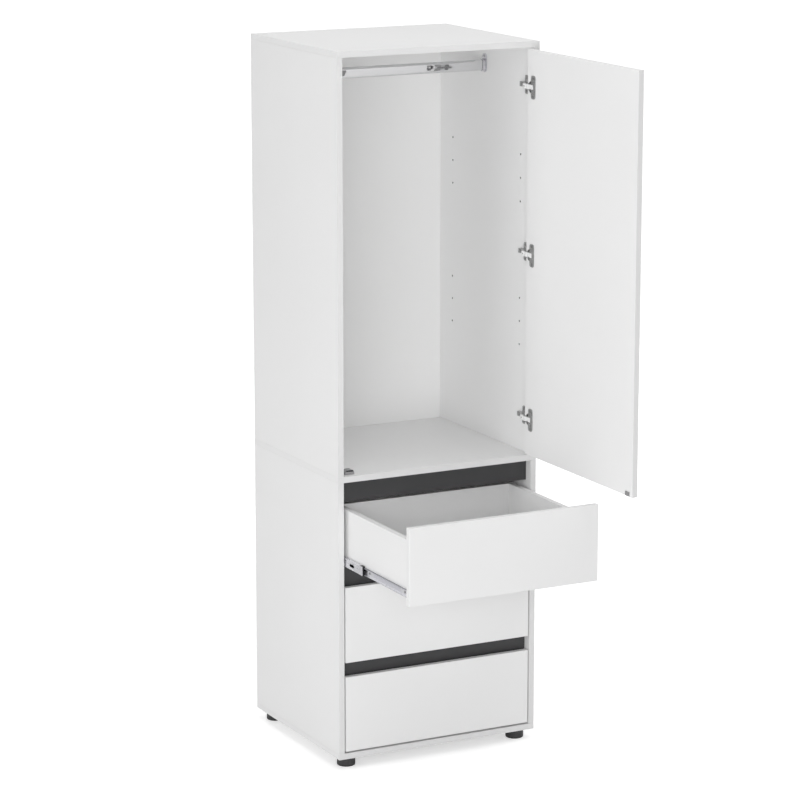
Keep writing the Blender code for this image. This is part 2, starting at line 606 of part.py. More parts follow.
slide_start = BOARD + SLIDE_SETBACK
runner_web = SLIDE_SPACE - SEAT
mid_start = slide_start + MID_SETBACK
cabinet_holes = (CABINET_HOLE_FRONT, SLIDE_LENGTH - CABINET_HOLE_REAR)
for number in range(1, DRAWERS + 1):
    for hand, side in (("left", -1), ("right", 1)):
        sign = -side
        tag = f"{number}_{hand}"
        spot = Vector((side * INNER, 0.0, SLIDE_LIFT))
        level = drawer_low(number - 1)

        # Cabinet member: the outer channel on the carcass side
        outline = channel(SEAT, CABINET_REACH, SLIDE_TALL, SLIDE_STEEL, SLIDE_BEND)
        fixed = place(f"slide_cabinet_{tag}", section(outline, sign, 0.0, SLIDE_LENGTH), ZINC, CARCASS,
                      spot + Vector((0.0, slide_start, level)))
        holes = [slot(SCREW_SLOT, SCREW_HOLE, along, sign) for along in cabinet_holes]
        cutter = place(f"cabinet_slots_{tag}", merge(holes), None, CARCASS, fixed.location)
        combine(fixed, cutter, "DIFFERENCE")

        # Middle member: a smaller channel with its ball cages and a plastic front end
        frame = MID_FRAMES[number - 1]
        seat = spot + Vector((0.0, mid_start, 0.0))
        outline = channel(MID_STANDOFF, MID_REACH, MID_TALL, SLIDE_STEEL, SLIDE_BEND)
        mid = place(f"slide_middle_{tag}", section(outline, sign, 0.0, MID_LENGTH), ZINC, frame, seat)
        outline = channel(MID_STANDOFF - END_PROUD, MID_REACH + END_PROUD, MID_TALL + 2 * END_PROUD,
                          END_WALL, SLIDE_BEND + END_PROUD)
        end = section(outline, sign, -END_PROUD, END_LENGTH)
        combine(mid, place(f"middle_end_{tag}", end, None, frame, seat), "UNION")
        strips = cages(SLIDE_TALL, MID_TALL, MID_STANDOFF + SLIDE_STEEL, MID_LENGTH - CAGE_SPAN, sign)
        combine(mid, place(f"middle_cages_{tag}", strips, None, frame, seat), "UNION")
        hole = slot(MID_SLOT_LONG, MID_SLOT_TALL, MID_SLOT_FROM_FRONT, sign)
        combine(mid, place(f"middle_slot_{tag}", hole, None, frame, seat), "DIFFERENCE")

        # Runner: the inner channel on the drawer side, open towards the middle member
        frame = DRAWER_FRAMES[number - 1]
        seat = spot + Vector((0.0, slide_start - RUNNER_SETBACK, 0.0))
        outline = channel(runner_web, RUNNER_STANDOFF, RUNNER_TALL, SLIDE_STEEL, SLIDE_BEND)
        runner = place(f"slide_runner_{tag}", section(outline, sign, 0.0, SLIDE_LENGTH), ZINC, frame, seat)
        strips = cages(MID_TALL, RUNNER_TALL, RUNNER_STANDOFF + SEAT, SLIDE_LENGTH - CAGE_SPAN, sign)
        combine(runner, place(f"runner_cages_{tag}", strips, None, frame, seat), "UNION")
        ring = [(z + RIB_FROM_FRONT + RIB_LONG / 2, y) for y, z in oval(RIB_TALL, RIB_LONG, steps=6)]
        rib = prism(ring, "X", sign * (runner_web - SLIDE_STEEL / 2),
                    sign * (runner_web - SLIDE_STEEL - RIB_RISE))
        combine(runner, place(f"runner_rib_{tag}", rib, None, frame, seat), "UNION")
        rings = [circle(SCREW_HOLE / 2, HOLE_SIDES, (along, 0.0)) for along in RUNNER_HOLES]
        holes = [prism(ring, "X", sign * RUNNER_STANDOFF, sign * SLIDE_SPACE * 1.2) for ring in rings]
        combine(runner, place(f"runner_drill_{tag}", merge(holes), None, frame, seat), "DIFFERENCE")

bpy.context.view_layer.update()
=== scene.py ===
import math

import bmesh
import bpy
from mathutils import Matrix, Vector


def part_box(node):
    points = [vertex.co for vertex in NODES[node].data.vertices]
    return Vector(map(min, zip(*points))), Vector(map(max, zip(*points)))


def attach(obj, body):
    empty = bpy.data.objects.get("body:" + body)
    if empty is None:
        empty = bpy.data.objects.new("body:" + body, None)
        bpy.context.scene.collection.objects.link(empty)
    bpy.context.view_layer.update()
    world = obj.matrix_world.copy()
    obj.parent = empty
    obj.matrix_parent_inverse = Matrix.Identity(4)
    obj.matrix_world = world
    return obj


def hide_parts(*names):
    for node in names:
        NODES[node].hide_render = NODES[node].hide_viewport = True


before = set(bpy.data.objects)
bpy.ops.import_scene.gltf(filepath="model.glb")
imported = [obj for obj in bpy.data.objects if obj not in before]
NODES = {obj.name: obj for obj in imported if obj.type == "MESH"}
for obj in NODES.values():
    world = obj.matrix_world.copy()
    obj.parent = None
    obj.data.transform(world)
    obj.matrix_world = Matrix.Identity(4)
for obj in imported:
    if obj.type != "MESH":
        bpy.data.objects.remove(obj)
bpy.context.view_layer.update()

# Planes that the fittings lie on, and the axis that the door turns about
SIDE_FACE, FRONT_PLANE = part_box("upper_side_right")[0].xy
DOOR_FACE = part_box("door_panel")[0].x
DOOR_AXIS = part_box("door_panel")[1].xy

# Tones of the boards, with some darker clouds and the edges as shares of them
WHITE = (0.880, 0.880, 0.880)
WHITE_SHADE = (0.868, 0.868, 0.867)
BACK_TONE = (0.895, 0.895, 0.893)
# The drawers' bases are greyer than the other boards: painted shade inside the drawers
BASE_PAINTED_SHADE_TONE = (0.790, 0.790, 0.788)
THIN_SHADE_SHARE = 0.98
ANTHRACITE_TONE = (0.055, 0.055, 0.057)
ANTHRACITE_SHADE_SHARE = 0.85
FRONT_EDGE_SHARE = 0.885
SIDE_EDGE_SHARE = 0.972

# Rubbed edges: metal's tone, plastic's as a share of its own tone, and how strongly plastic's shows
RUBBED_TONE = (0.95, 0.95, 0.95)
PLASTIC_RUBBED_SHARE = 2.5
PLASTIC_RUBBED = 0.2

# Patches of another roughness: on boards and their edges and on plastic as steps, on metal as shares
BOARD_PATCHES = (-0.04, 0.05)
BOARD_EDGE_PATCH = -0.03
PLASTIC_PATCHES = (-0.06, 0.06)
METAL_PATCHES = (0.8, 1.25)

# Drilled holes: raw chipboard darkened with painted shade, a rim of painted shade round each hole, and the
# least way in from the board's outline
CHIP_AND_SHADE_TONE = (0.020, 0.017, 0.014)
HOLE_SHADE_RIM = 0.0015
HOLE_SHADE_MARGIN = 0.010

# Drawer slides: the steel's thickness, the cage and clip at a middle member's front, with painted shade,
# and a runner's rib and lips, which carry painted shade, and its screws
DRAWERS = (1, 2, 3)
SLIDE_STEEL = 0.0012
CAGE_REACH = 0.016
CLIP_REACH = 0.005
CLIP_TALL = 0.0034
RIB_REACH = (0.049, 0.193)
RIB_HALF = 0.0048
RUNNER_LIP = 0.0018
RUNNER_SCREWS = (0.020, 0.220)

# Hinges: the bright parts, which carry a painted highlight, the cups' flanges, links and pin covers, and
# the places of the screws
HINGES = (1, 2, 3)
BRIGHT_ARM_BACK = 0.020
BRIGHT_ARM_RISE = 0.0055
BRIGHT_HALF = 0.0066
BRIGHT_CUP_REACH = 0.0222
FLANGE_RISE = 0.0018
FLANGE_WIDE = 0.022
LINK_RADIUS = 0.0186
LINK_STEEL = 0.0012
LINK_HALF = 0.0063
LINK_ROUND = 0.0003
LINK_TURN = (math.radians(63), math.radians(22))
LINK_STEPS = 8
PIN_COVER_LONG = 0.0115
PIN_COVER_RISE = 0.0009
WING_RISE = 0.0021
WING_BACK = 0.037
WING_SPREAD = 0.018
NOSE_SCREW_BACK = 0.009
TAIL_RISE = 0.0090
TAIL_SCREW_IN = 0.0120
CUP_SCREW_BACK = 0.011
CUP_SCREW_SPREAD = 0.024

# Magnet catch, its strike plate and the rail sockets
MAGNET_LIFT = 0.0098
MAGNET_HALF = 0.0026
MAGNET_HALF_WIDE = 0.0105
POLE_STEEL = 0.0012
STRIKE_SCREW_RISE = 0.0006
SOCKET_PLATE = 0.0025
SOCKET_LUG_DROP = 0.007

# Heads of screws and nails: radius and height
PLATE_SCREW = (0.0036, 0.0014)
NOSE_SCREW = (0.0024, 0.0005)
TAIL_SCREW = (0.0036, 0.0012)
STRIKE_SCREW = (0.0017, 0.0004)
SOCKET_SCREW = (0.0034, 0.0013)
RUNNER_SCREW = (0.0034, 0.0012)
NAIL = (0.0021, 0.0005)

# A head's outline and cross recess, as shares of its radius and height
HEAD_PROFILE = ((1.0, 0.0), (1.0, 0.35), (0.88, 0.78), (0.64, 1.0))
CROSS_ARM = 0.50
CROSS_HALF = 0.13
CROSS_TAPER = 0.6
CROSS_FLOOR = 0.25
SCREW_SIDES = 24
NAIL_SIDES = 12

# Nails of the back: their way in from its edges, and how many go up each side below and above the middle
# panel, and across in a row
NAIL_INSET = 0.0085
NAILS_BELOW = 6
NAILS_ABOVE = 8
NAILS_ACROSS = 5

# Feet and clothes rail
FOOT_ROUND = 0.003
FOOT_STEPS = 5
FOOT_SIDES = 64
RAIL_WALL = 0.001
RAIL_STEPS = 24

# Edges of the added pieces stay sharp past this angle
SHARP_ANGLE = math.radians(35)

# Light: the world's strength, then each soft lamp's place, width and power, and what they look at
AMBIENT = 0.320
LAMPS = {
    "front_left": ((-3.0, -4.9, 1.2), 3.0, 166.0),
    "left": ((-5.0, -0.6, 1.9), 3.0, 62.0),
    "top": ((0.0, -0.6, 5.2), 3.0, 62.0),
    "right": ((5.0, 0.2, 2.0), 3.0, 92.0),
    "rear": ((0.6, 5.6, 2.0), 3.0, 102.0),
}
LAMP_AIM = Vector((0.0, 0.1, 1.0))

# Floor: its half width and tones, its own glow to the camera near the object and far from it, and the
# two distances
FLOOR_HALF = 60.0
FLOOR_TONES = ((0.80, 0.80, 0.80), (0.79, 0.79, 0.79))
FLOOR_GLOW = (0.50, 1.0)
FLOOR_REACH = (1.2, 4.0)

# Camera: its focal length in the photograph's pixels, its sensor's width in millimetres, its place, and
# its tilt down and turn in radians
PHOTO_WIDE = 800
FOCAL_PIXELS = 3217.59
SENSOR = 36.0
EYE_PLACE = (-3.94173, -7.38903, 2.82355)
EYE_DOWN = 0.215165
EYE_TURN = -0.476839


# Node helpers

def link(tree, source, target):
    tree.links.new(source, target)


def node(tree, kind, **settings):
    made = tree.nodes.new(kind)
    for name, value in settings.items():
        setattr(made, name, value)
    return made


def start(name, roughness=0.5, metallic=0.0):
    """A new node material and its shader."""
    made = bpy.data.materials.new(name)
    made.use_nodes = True
    shader = made.node_tree.nodes["Principled BSDF"]
    shader.inputs["Roughness"].default_value = roughness
    shader.inputs["Metallic"].default_value = metallic
    return made, made.node_tree, shader


def own_place(tree):
    """The piece's own coordinates, which move with it."""
    return node(tree, "ShaderNodeTexCoord").outputs["Object"]


def place_on(tree, axis):
    """The place along one of the piece's own axes."""
    split = node(tree, "ShaderNodeSeparateXYZ")
    link(tree, own_place(tree), split.inputs["Vector"])
    return split.outputs[axis]


def noise(tree, scale, detail=2.0, stretch=None):
    made = node(tree, "ShaderNodeTexNoise")
    made.inputs["Scale"].default_value = scale
    made.inputs["Detail"].default_value = detail
    source = own_place(tree)
    if stretch is not None:
        mapping = node(tree, "ShaderNodeMapping")
        mapping.inputs["Scale"].default_value = stretch
        link(tree, source, mapping.inputs["Vector"])
        source = mapping.outputs["Vector"]
    link(tree, source, made.inputs["Vector"])
    return made.outputs["Fac"]


def spread(tree, source, low=0.0, high=1.0, source_low=0.3, source_high=0.7):
    """Map a range of a source, a texture's middle range by default, to a range of values."""
    made = node(tree, "ShaderNodeMapRange")
    made.inputs["From Min"].default_value = source_low
    made.inputs["From Max"].default_value = source_high
    made.inputs["To Min"].default_value = low
    made.inputs["To Max"].default_value = high
    link(tree, source, made.inputs["Value"])
    return made.outputs["Result"]


def tint(tree, factor, first, second):
    """A colour between two by a factor."""
    made = node(tree, "ShaderNodeMix", data_type="RGBA")
    link(tree, factor, made.inputs["Factor"])
    for socket, value in (("A", first), ("B", second)):
        slots = [s for s in made.inputs if s.name == socket and s.type == "RGBA"]
        if isinstance(value, tuple):
            slots[0].default_value = (*value, 1.0)
        else:
            link(tree, value, slots[0])
    return [s for s in made.outputs if s.type == "RGBA"][0]


def level(tree, factor, first, second):
    """A number between two by a factor."""
    made = node(tree, "ShaderNodeMix", data_type="FLOAT")
    link(tree, factor, made.inputs["Factor"])
    for socket, value in (("A", first), ("B", second)):
        if isinstance(value, float):
            made.inputs[socket].default_value = value
        else:
            link(tree, value, made.inputs[socket])
    return made.outputs["Result"]


def maths(tree, operation, first, second):
    made = node(tree, "ShaderNodeMath", operation=operation)
    for slot, value in enumerate((first, second)):
        if isinstance(value, float):
            made.inputs[slot].default_value = value
        else:
            link(tree, value, made.inputs[slot])
    return made.outputs["Value"]


def product(tree, first, *others):
    """Masks multiplied together."""
    for other in others:
        first = maths(tree, "MULTIPLY", first, other)
    return first


def past(tree, axis, edge, soft):
    """0 below a plane across one of the piece's own axes, 1 above it; a negative soft turns it round."""
    return spread(tree, place_on(tree, axis), source_low=edge - soft / 2, source_high=edge + soft / 2)


def near(tree, axis, centre, half, soft=0.0003):
    """1 within a half width of a plane across one of the piece's own axes, 0 beyond it."""
    away = maths(tree, "SUBTRACT", place_on(tree, axis), centre)
    size = maths(tree, "ABSOLUTE", away, 0.0)
    return spread(tree, size, 1.0, 0.0, source_low=half - soft / 2, source_high=half + soft / 2)


def sunk(tree, low, high):
    """1 on surfaces that lie inside a board's own box, such as the walls of a drilled hole."""
    away = node(tree, "ShaderNodeVectorMath", operation="SUBTRACT")
    link(tree, own_place(tree), away.inputs[0])
    away.inputs[1].default_value = (low + high) / 2
    size = node(tree, "ShaderNodeVectorMath", operation="ABSOLUTE")
    link(tree, away.outputs["Vector"], size.inputs[0])
    depth = node(tree, "ShaderNodeVectorMath", operation="SUBTRACT")
    depth.inputs[0].default_value = (high - low) / 2
    link(tree, size.outputs["Vector"], depth.inputs[1])
    split = node(tree, "ShaderNodeSeparateXYZ")
    link(tree, depth.outputs["Vector"], split.inputs["Vector"])
    least = maths(tree, "MINIMUM", split.outputs["X"], split.outputs["Y"])
    least = maths(tree, "MINIMUM", least, split.outputs["Z"])
    return spread(tree, least, source_low=0.0001, source_high=0.0003)


def eased(tree, radius):
    """Normals rounded over the edges, and a mask of those edges."""
    bevel = node(tree, "ShaderNodeBevel", samples=6)
    bevel.inputs["Radius"].default_value = radius
    flat = node(tree, "ShaderNodeNewGeometry")
    agree = node(tree, "ShaderNodeVectorMath", operation="DOT_PRODUCT")
    link(tree, bevel.outputs["Normal"], agree.inputs[0])
    link(tree, flat.outputs["Normal"], agree.inputs[1])
    edge = spread(tree, agree.outputs["Value"], 1.0, 0.0, source_low=0.75, source_high=0.98)
    return bevel.outputs["Normal"], edge


def hole_rim_shade(tree, low, high):
    """1 on a rim of painted shade round each hole, which lies well inside a board's outline."""
    rim = eased(tree, HOLE_SHADE_RIM)[1]
    for axis, first, last in (("Y", low.y, high.y), ("Z", low.z, high.z)):
        rim = product(tree, rim, near(tree, axis, (first + last) / 2, (last - first) / 2 - HOLE_SHADE_MARGIN))
    return rim


def facing(tree, axis):
    """1 on faces that look along one of the piece's own axes, 0 on the others."""
    place = node(tree, "ShaderNodeTexCoord")
    split = node(tree, "ShaderNodeSeparateXYZ")
    link(tree, place.outputs["Normal"], split.inputs["Vector"])
    size = maths(tree, "ABSOLUTE", split.outputs[axis], 0.0)
    return spread(tree, size, source_low=0.6, source_high=0.8)


def bump(tree, shader, height, strength, distance, normal=None):
    made = node(tree, "ShaderNodeBump")
    made.inputs["Strength"].default_value = strength
    made.inputs["Distance"].default_value = distance
    link(tree, height, made.inputs["Height"])
    if normal is not None:
        link(tree, normal, made.inputs["Normal"])
    link(tree, made.outputs["Normal"], shader.inputs["Normal"])


def shares(tone, share):
    return tuple(v * share for v in tone)


# Materials

def melamine(name, axis, tone=WHITE, shade=WHITE_SHADE, roughness=0.45, drilled=None):
    """Faced board: a faint cloud in the colour, a fine pearl grain, edges a little darker than the faces
    and those facing front and back darker still, and drilled holes of raw chipboard darkened with painted
    shade and rimmed with it.
    """
    made, tree, shader = start(name)
    face = facing(tree, axis)
    cloud = noise(tree, scale=2.6, detail=3.0)
    colour = tint(tree, spread(tree, cloud), tone, shade)
    edge = tint(tree, facing(tree, "Y"), shares(tone, SIDE_EDGE_SHARE), shares(tone, FRONT_EDGE_SHARE))
    colour = tint(tree, face, edge, colour)
    if drilled is not None:
        # The hole walls are raw chipboard darkened with painted shade, and a rim of painted shade lies
        # round each hole
        raw_and_shade = maths(tree, "MAXIMUM", sunk(tree, *drilled), hole_rim_shade(tree, *drilled))
        colour = tint(tree, raw_and_shade, colour, CHIP_AND_SHADE_TONE)
    link(tree, colour, shader.inputs["Base Color"])
    patchy = spread(tree, noise(tree, scale=60.0), *(roughness + v for v in BOARD_PATCHES))
    dull = level(tree, face, roughness + BOARD_EDGE_PATCH, patchy)
    link(tree, dull, shader.inputs["Roughness"])
    bump(tree, shader, noise(tree, scale=1400.0, detail=1.0), strength=0.10, distance=0.00015)
    return made


def plated(name, tone, shade, roughness, stretch, scale, grain=0.05, rim=0.25, metal=1.0, zones=()):
    """Plated steel: a drawn grain, duller patches, edges rubbed bright, and zones of another finish.

    A zone is a mask, which takes the node tree, and a colour, a roughness and a metallic value.
    """
    made, tree, shader = start(name, metallic=metal)
    streak = noise(tree, scale, detail=3.0, stretch=stretch)
    normal, edge = eased(tree, radius=0.0005)
    colour = tint(tree, spread(tree, streak), tone, shade)
    colour = tint(tree, maths(tree, "MULTIPLY", edge, rim), colour, RUBBED_TONE)
    dull = spread(tree, noise(tree, scale=90.0, detail=3.0), *(roughness * v for v in METAL_PATCHES))
    for mask, (zone_tone, zone_dull, zone_metal) in zones:
        area = mask(tree)
        colour = tint(tree, area, colour, zone_tone)
        dull = level(tree, area, dull, zone_dull)
        if zone_metal != metal:
            metal = level(tree, area, metal, zone_metal)
    if not isinstance(metal, float):
        link(tree, metal, shader.inputs["Metallic"])
    link(tree, colour, shader.inputs["Base Color"])
    link(tree, dull, shader.inputs["Roughness"])
    bump(tree, shader, streak, grain, distance=0.0001, normal=normal)
    return made


def plastic(name, tone, shade, roughness):
    """Moulded plastic with a spark-eroded grain and edges rubbed paler."""
    made, tree, shader = start(name)
    normal, edge = eased(tree, radius=0.0006)
    colour = tint(tree, spread(tree, noise(tree, scale=30.0, detail=3.0)), tone, shade)
    rubbed = maths(tree, "MULTIPLY", edge, PLASTIC_RUBBED)
    colour = tint(tree, rubbed, colour, shares(tone, PLASTIC_RUBBED_SHARE))
    link(tree, colour, shader.inputs["Base Color"])
    dull = spread(tree, noise(tree, scale=220.0), *(roughness + v for v in PLASTIC_PATCHES))
    link(tree, dull, shader.inputs["Roughness"])
    bump(tree, shader, noise(tree, scale=2600.0), strength=0.25, distance=0.0001, normal=normal)
    return made


# Metals and the catch's housing: tone, shade, roughness, and the stretch and scale of the grain
CHROMED = ((0.78, 0.78, 0.79), (0.75, 0.75, 0.76), 0.025, (1.0, 40.0, 40.0), 30.0)
SOCKET_METAL = ((0.74, 0.73, 0.77), (0.66, 0.65, 0.69), 0.16, (1.0, 1.0, 6.0), 60.0)
ZINC = ((0.84, 0.84, 0.87), (0.78, 0.78, 0.81), 0.28, (8.0, 0.6, 8.0), 90.0)
STEEL = ((0.55, 0.55, 0.56), (0.46, 0.46, 0.47), 0.28, (1.0, 1.0, 1.0), 400.0)
STRIKE_STEEL = ((0.62, 0.62, 0.63), (0.54, 0.54, 0.55), 0.34, (1.0, 6.0, 1.0), 120.0)
DARK_NICKEL = ((0.52, 0.52, 0.52), (0.40, 0.40, 0.40), 0.30, (1.0, 1.0, 14.0), 60.0)
SCREW_NICKEL = ((0.40, 0.40, 0.40), (0.32, 0.32, 0.32), 0.30, (1.0, 1.0, 1.0), 400.0)
# The links' near-white colour is a painted highlight on their nickel
LINK_NICKEL_HIGHLIGHT = ((0.98, 0.98, 0.98), (0.95, 0.95, 0.95), 0.25, (1.0, 1.0, 14.0), 60.0)
GREY = ((0.32, 0.32, 0.325), (0.28, 0.28, 0.285), 0.42, (1.0, 1.0, 1.0), 220.0)

# Finishes of zones: colour, roughness and metallic value
# A painted highlight: near-white and hardly metallic, standing in for the hinges' nickel catching the light
PAINTED_HIGHLIGHT = ((0.98, 0.98, 0.98), 0.25, 0.10)
# Painted shade on the runners: a darker strip on the rib and dark lines along the lips stand for how the
# rolled profile reflects and shades
RIB_SHADE = ((0.78, 0.78, 0.83), 0.34, 1.0)
LIP_SHADE = ((0.24, 0.24, 0.28), 0.34, 1.0)
# Black plastic of the cage and clip, also painted over the inside of the channel's mouth as painted shade
CAGE_AND_SHADE = ((0.020, 0.020, 0.022), 0.40, 0.0)
MAGNET = ((0.045, 0.045, 0.047), 0.50, 0.0)
POLE = ((0.62, 0.62, 0.63), 0.34, 1.0)


# Masks of the zones

def arm_highlight(tree):
    """The front of a hinge arm, clear of the side board and of the mounting plate, which takes a painted
    highlight.
    """
    rise = past(tree, "X", SIDE_FACE - BRIGHT_ARM_RISE, soft=-0.0004)
    return product(tree, rise, past(tree, "Y", FRONT_PLANE + BRIGHT_ARM_BACK, soft=-0.002))


def cup_highlight(low, high):
    """A painted highlight on the link and cheeks down the middle of a hinge cup, from its flange to the
    arm.
    """
    def mask(tree):
        bar = near(tree, "Z", (low.z + high.z) / 2, BRIGHT_HALF)
        return product(tree, bar, past(tree, "Y", low.y + BRIGHT_CUP_REACH, soft=0.0004))
    return mask


def slide_cage_and_shade(low, high):
    """The plastic ball cage inside the front of a slide's middle member, and the clip at its top corner,
    painted black, which also stands as painted shade inside the channel's mouth.
    """
    def mask(tree):
        web = low.x + SLIDE_STEEL / 2 if low.x < 0 else high.x - SLIDE_STEEL / 2
        behind_web = past(tree, "X", web, soft=math.copysign(0.0002, -web))
        inside = near(tree, "Z", (low.z + high.z) / 2, (high.z - low.z) / 2 - SLIDE_STEEL / 2)
        cage_and_shade = product(tree, behind_web, past(tree, "Y", low.y + CAGE_REACH, soft=-0.0004), inside)
        clip_top = past(tree, "Z", high.z - CLIP_TALL, soft=0.0004)
        clip = product(tree, clip_top, past(tree, "Y", low.y + CLIP_REACH, soft=-0.0004))
        return maths(tree, "MAXIMUM", cage_and_shade, clip)
    return mask


def runner_rib_shade(low, high):
    """The pressed rib along the middle of a runner, where a darker strip is painted shade."""
    def mask(tree):
        strip = near(tree, "Z", (low.z + high.z) / 2, RIB_HALF, soft=0.0006)
        half = (RIB_REACH[1] - RIB_REACH[0]) / 2
        return product(tree, strip, near(tree, "Y", low.y + RIB_REACH[0] + half, half, soft=0.002))
    return mask


def runner_lip_shade(low, high):
    """The rolled lips along a runner's long edges, painted dark as the shade along them."""
    def mask(tree):
        web = near(tree, "Z", (low.z + high.z) / 2, (high.z - low.z) / 2 - RUNNER_LIP, soft=0.0004)
        return maths(tree, "SUBTRACT", 1.0, web)
    return mask


def catch_magnet(low, high, half, inner=0.0):
    """The magnet across a catch's front, or the edges of the steel poles beside it."""
    def mask(tree):
        lift = low.z + MAGNET_LIFT
        band = near(tree, "Z", lift, half)
        if inner:
            band = maths(tree, "SUBTRACT", band, near(tree, "Z", lift, inner))
        wide = near(tree, "X", (low.x + high.x) / 2, MAGNET_HALF_WIDE)
        return product(tree, band, wide, past(tree, "Y", low.y + POLE_STEEL, soft=-0.0002))
    return mask


# The finish of every piece

BOARD_X = melamine("white_board_x", "X")
BOARD_Y = melamine("white_board_y", "Y")
BOARD_Z = melamine("white_board_z", "Z")
BACK = melamine("white_back_board", "Y", BACK_TONE, shares(BACK_TONE, THIN_SHADE_SHARE), roughness=0.5)
# The drawers' bases take a greyer tone as painted shade inside the drawers
BASE = melamine("white_base_board", "Z", BASE_PAINTED_SHADE_TONE, shares(BASE_PAINTED_SHADE_TONE, THIN_SHADE_SHARE), roughness=0.5)
ANTHRACITE = melamine("anthracite_board", "Y", ANTHRACITE_TONE,
                      shares(ANTHRACITE_TONE, ANTHRACITE_SHADE_SHARE))
CHROME = plated("chrome", *CHROMED, grain=0.0, rim=0.0)
SOCKET = plated("socket_metal", *SOCKET_METAL, grain=0.02)
RAIL = plated("slide_rail_zinc", *ZINC)
SCREW = plated("screw_steel", *STEEL)
DARK_SCREW = plated("dark_screw_nickel", *SCREW_NICKEL)
STRIKE = plated("strike_steel", *STRIKE_STEEL)
ARM = plated("hinge_arm_nickel", *DARK_NICKEL, zones=[(arm_highlight, PAINTED_HIGHLIGHT)])
LINK = plated("hinge_link_nickel_highlight", *LINK_NICKEL_HIGHLIGHT, metal=0.1)
BLACK = plastic("black_plastic", (0.048, 0.048, 0.049), (0.038, 0.038, 0.039), roughness=0.40)


def finish_for(name):
    """The material of a CAD node, by its name."""
    if name.startswith("handle_board"):
        return ANTHRACITE
    if name == "back_panel":
        return BACK
    if name.startswith("foot_"):
        return BLACK
    if name == "clothes_rail":
        return CHROME
    if name.startswith("rail_socket"):
        return SOCKET
    if name.startswith("hinge_arm"):
        return ARM
    if name.startswith("hinge_cup"):
        return plated("nickel_" + name, *DARK_NICKEL, zones=[(cup_highlight(*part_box(name)), PAINTED_HIGHLIGHT)])
    if name.startswith("slide_middle"):
        return plated("zinc_" + name, *ZINC, zones=[(slide_cage_and_shade(*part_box(name)), CAGE_AND_SHADE)])
    if name.startswith("slide_runner"):
        zones = [(runner_rib_shade(*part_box(name)), RIB_SHADE), (runner_lip_shade(*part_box(name)), LIP_SHADE)]
        return plated("zinc_" + name, *ZINC, zones=zones)
    if name.startswith("slide_"):
        return RAIL
    if name == "strike_plate":
        return STRIKE
    if name == "magnet_catch":
        zones = [(catch_magnet(*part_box(name), MAGNET_HALF + POLE_STEEL, MAGNET_HALF), POLE),
                 (catch_magnet(*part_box(name), MAGNET_HALF), MAGNET)]
        return plated("grey_plastic", *GREY, rim=0.1, metal=0.0, zones=zones)
    if name.endswith("_base"):
        return BASE
    if name.startswith("upper_side"):
        return melamine("white_" + name, "X", drilled=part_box(name))
    if "_side_" in name or name == "door_panel":
        return BOARD_X
    if name.endswith(("_front", "_back")):
        return BOARD_Y
    return BOARD_Z


for name, piece in NODES.items():
    piece.data.materials.clear()
    piece.data.materials.append(finish_for(name))


# Mesh helpers

def add(name, shape, finish, body, stands_for=None):
    """A modelled mesh as a piece that rides on a body."""
    bmesh.ops.recalc_face_normals(shape, faces=shape.faces)
    mesh = bpy.data.meshes.new(name)
    shape.to_mesh(mesh)
    shape.free()
    mesh.materials.append(finish)
    mesh.shade_smooth()
    mesh.set_sharp_from_angle(angle=SHARP_ANGLE)
    made = bpy.data.objects.new(name, mesh)
    bpy.context.scene.collection.objects.link(made)
    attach(made, body)
    if stands_for is not None:
        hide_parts(stands_for)


def loft(shape, loops):
    """Skin a row of equal loops of vertices, open at both ends."""
    for one, other in zip(loops, loops[1:]):
        for k in range(len(one)):
            after = (k + 1) % len(one)
            shape.faces.new((one[k], one[after], other[after], other[k]))


def closed_loft(shape, loops):
    """Skin a row of loops and cap its two ends."""
    loft(shape, loops)
    shape.faces.new(loops[0])
    shape.faces.new(loops[-1])


def circle(radius, sides):
    step = 2 * math.pi / sides
    return [(radius * math.cos(step * k), radius * math.sin(step * k)) for k in range(sides)]


def cross_outline(radius):
    """The plus-shaped mouth of a cross recess."""
    arm = CROSS_ARM * radius
    half = CROSS_HALF * radius
    quarter = [(half, half), (half, arm), (-half, arm)]
    points = []
    for _ in range(4):
        points += quarter
        quarter = [(-y, x) for x, y in quarter]
    return points


def screw(shape, spot, outward, head, crossed=True, sides=SCREW_SIDES):
    """A pan head with a cross recess, or a plain domed nail head."""
    radius, height = head
    place = Matrix.Translation(spot) @ Vector(outward).to_track_quat("Z", "Y").to_matrix().to_4x4()

    def ring(points, lift):
        return [shape.verts.new(place @ Vector((x, y, lift))) for x, y in points]

    loops = [ring(circle(radius * wide, sides), height * tall) for wide, tall in HEAD_PROFILE]
    if not crossed:
        closed_loft(shape, loops)
        return
    loft(shape, loops)
    shape.faces.new(loops[0])
    mouth = cross_outline(radius)
    rim = ring(mouth, height)
    deep = ring([(x * CROSS_TAPER, y * CROSS_TAPER) for x, y in mouth], height * CROSS_FLOOR)
    loft(shape, [rim, deep])
    shape.faces.new(deep)
    edges = []
    for loop in (loops[-1], rim):
        for k, vert in enumerate(loop):
            edges.append(shape.edges.get((vert, loop[k - 1])))
    bmesh.ops.triangle_fill(shape, edges=edges, use_beauty=True)


# Added pieces

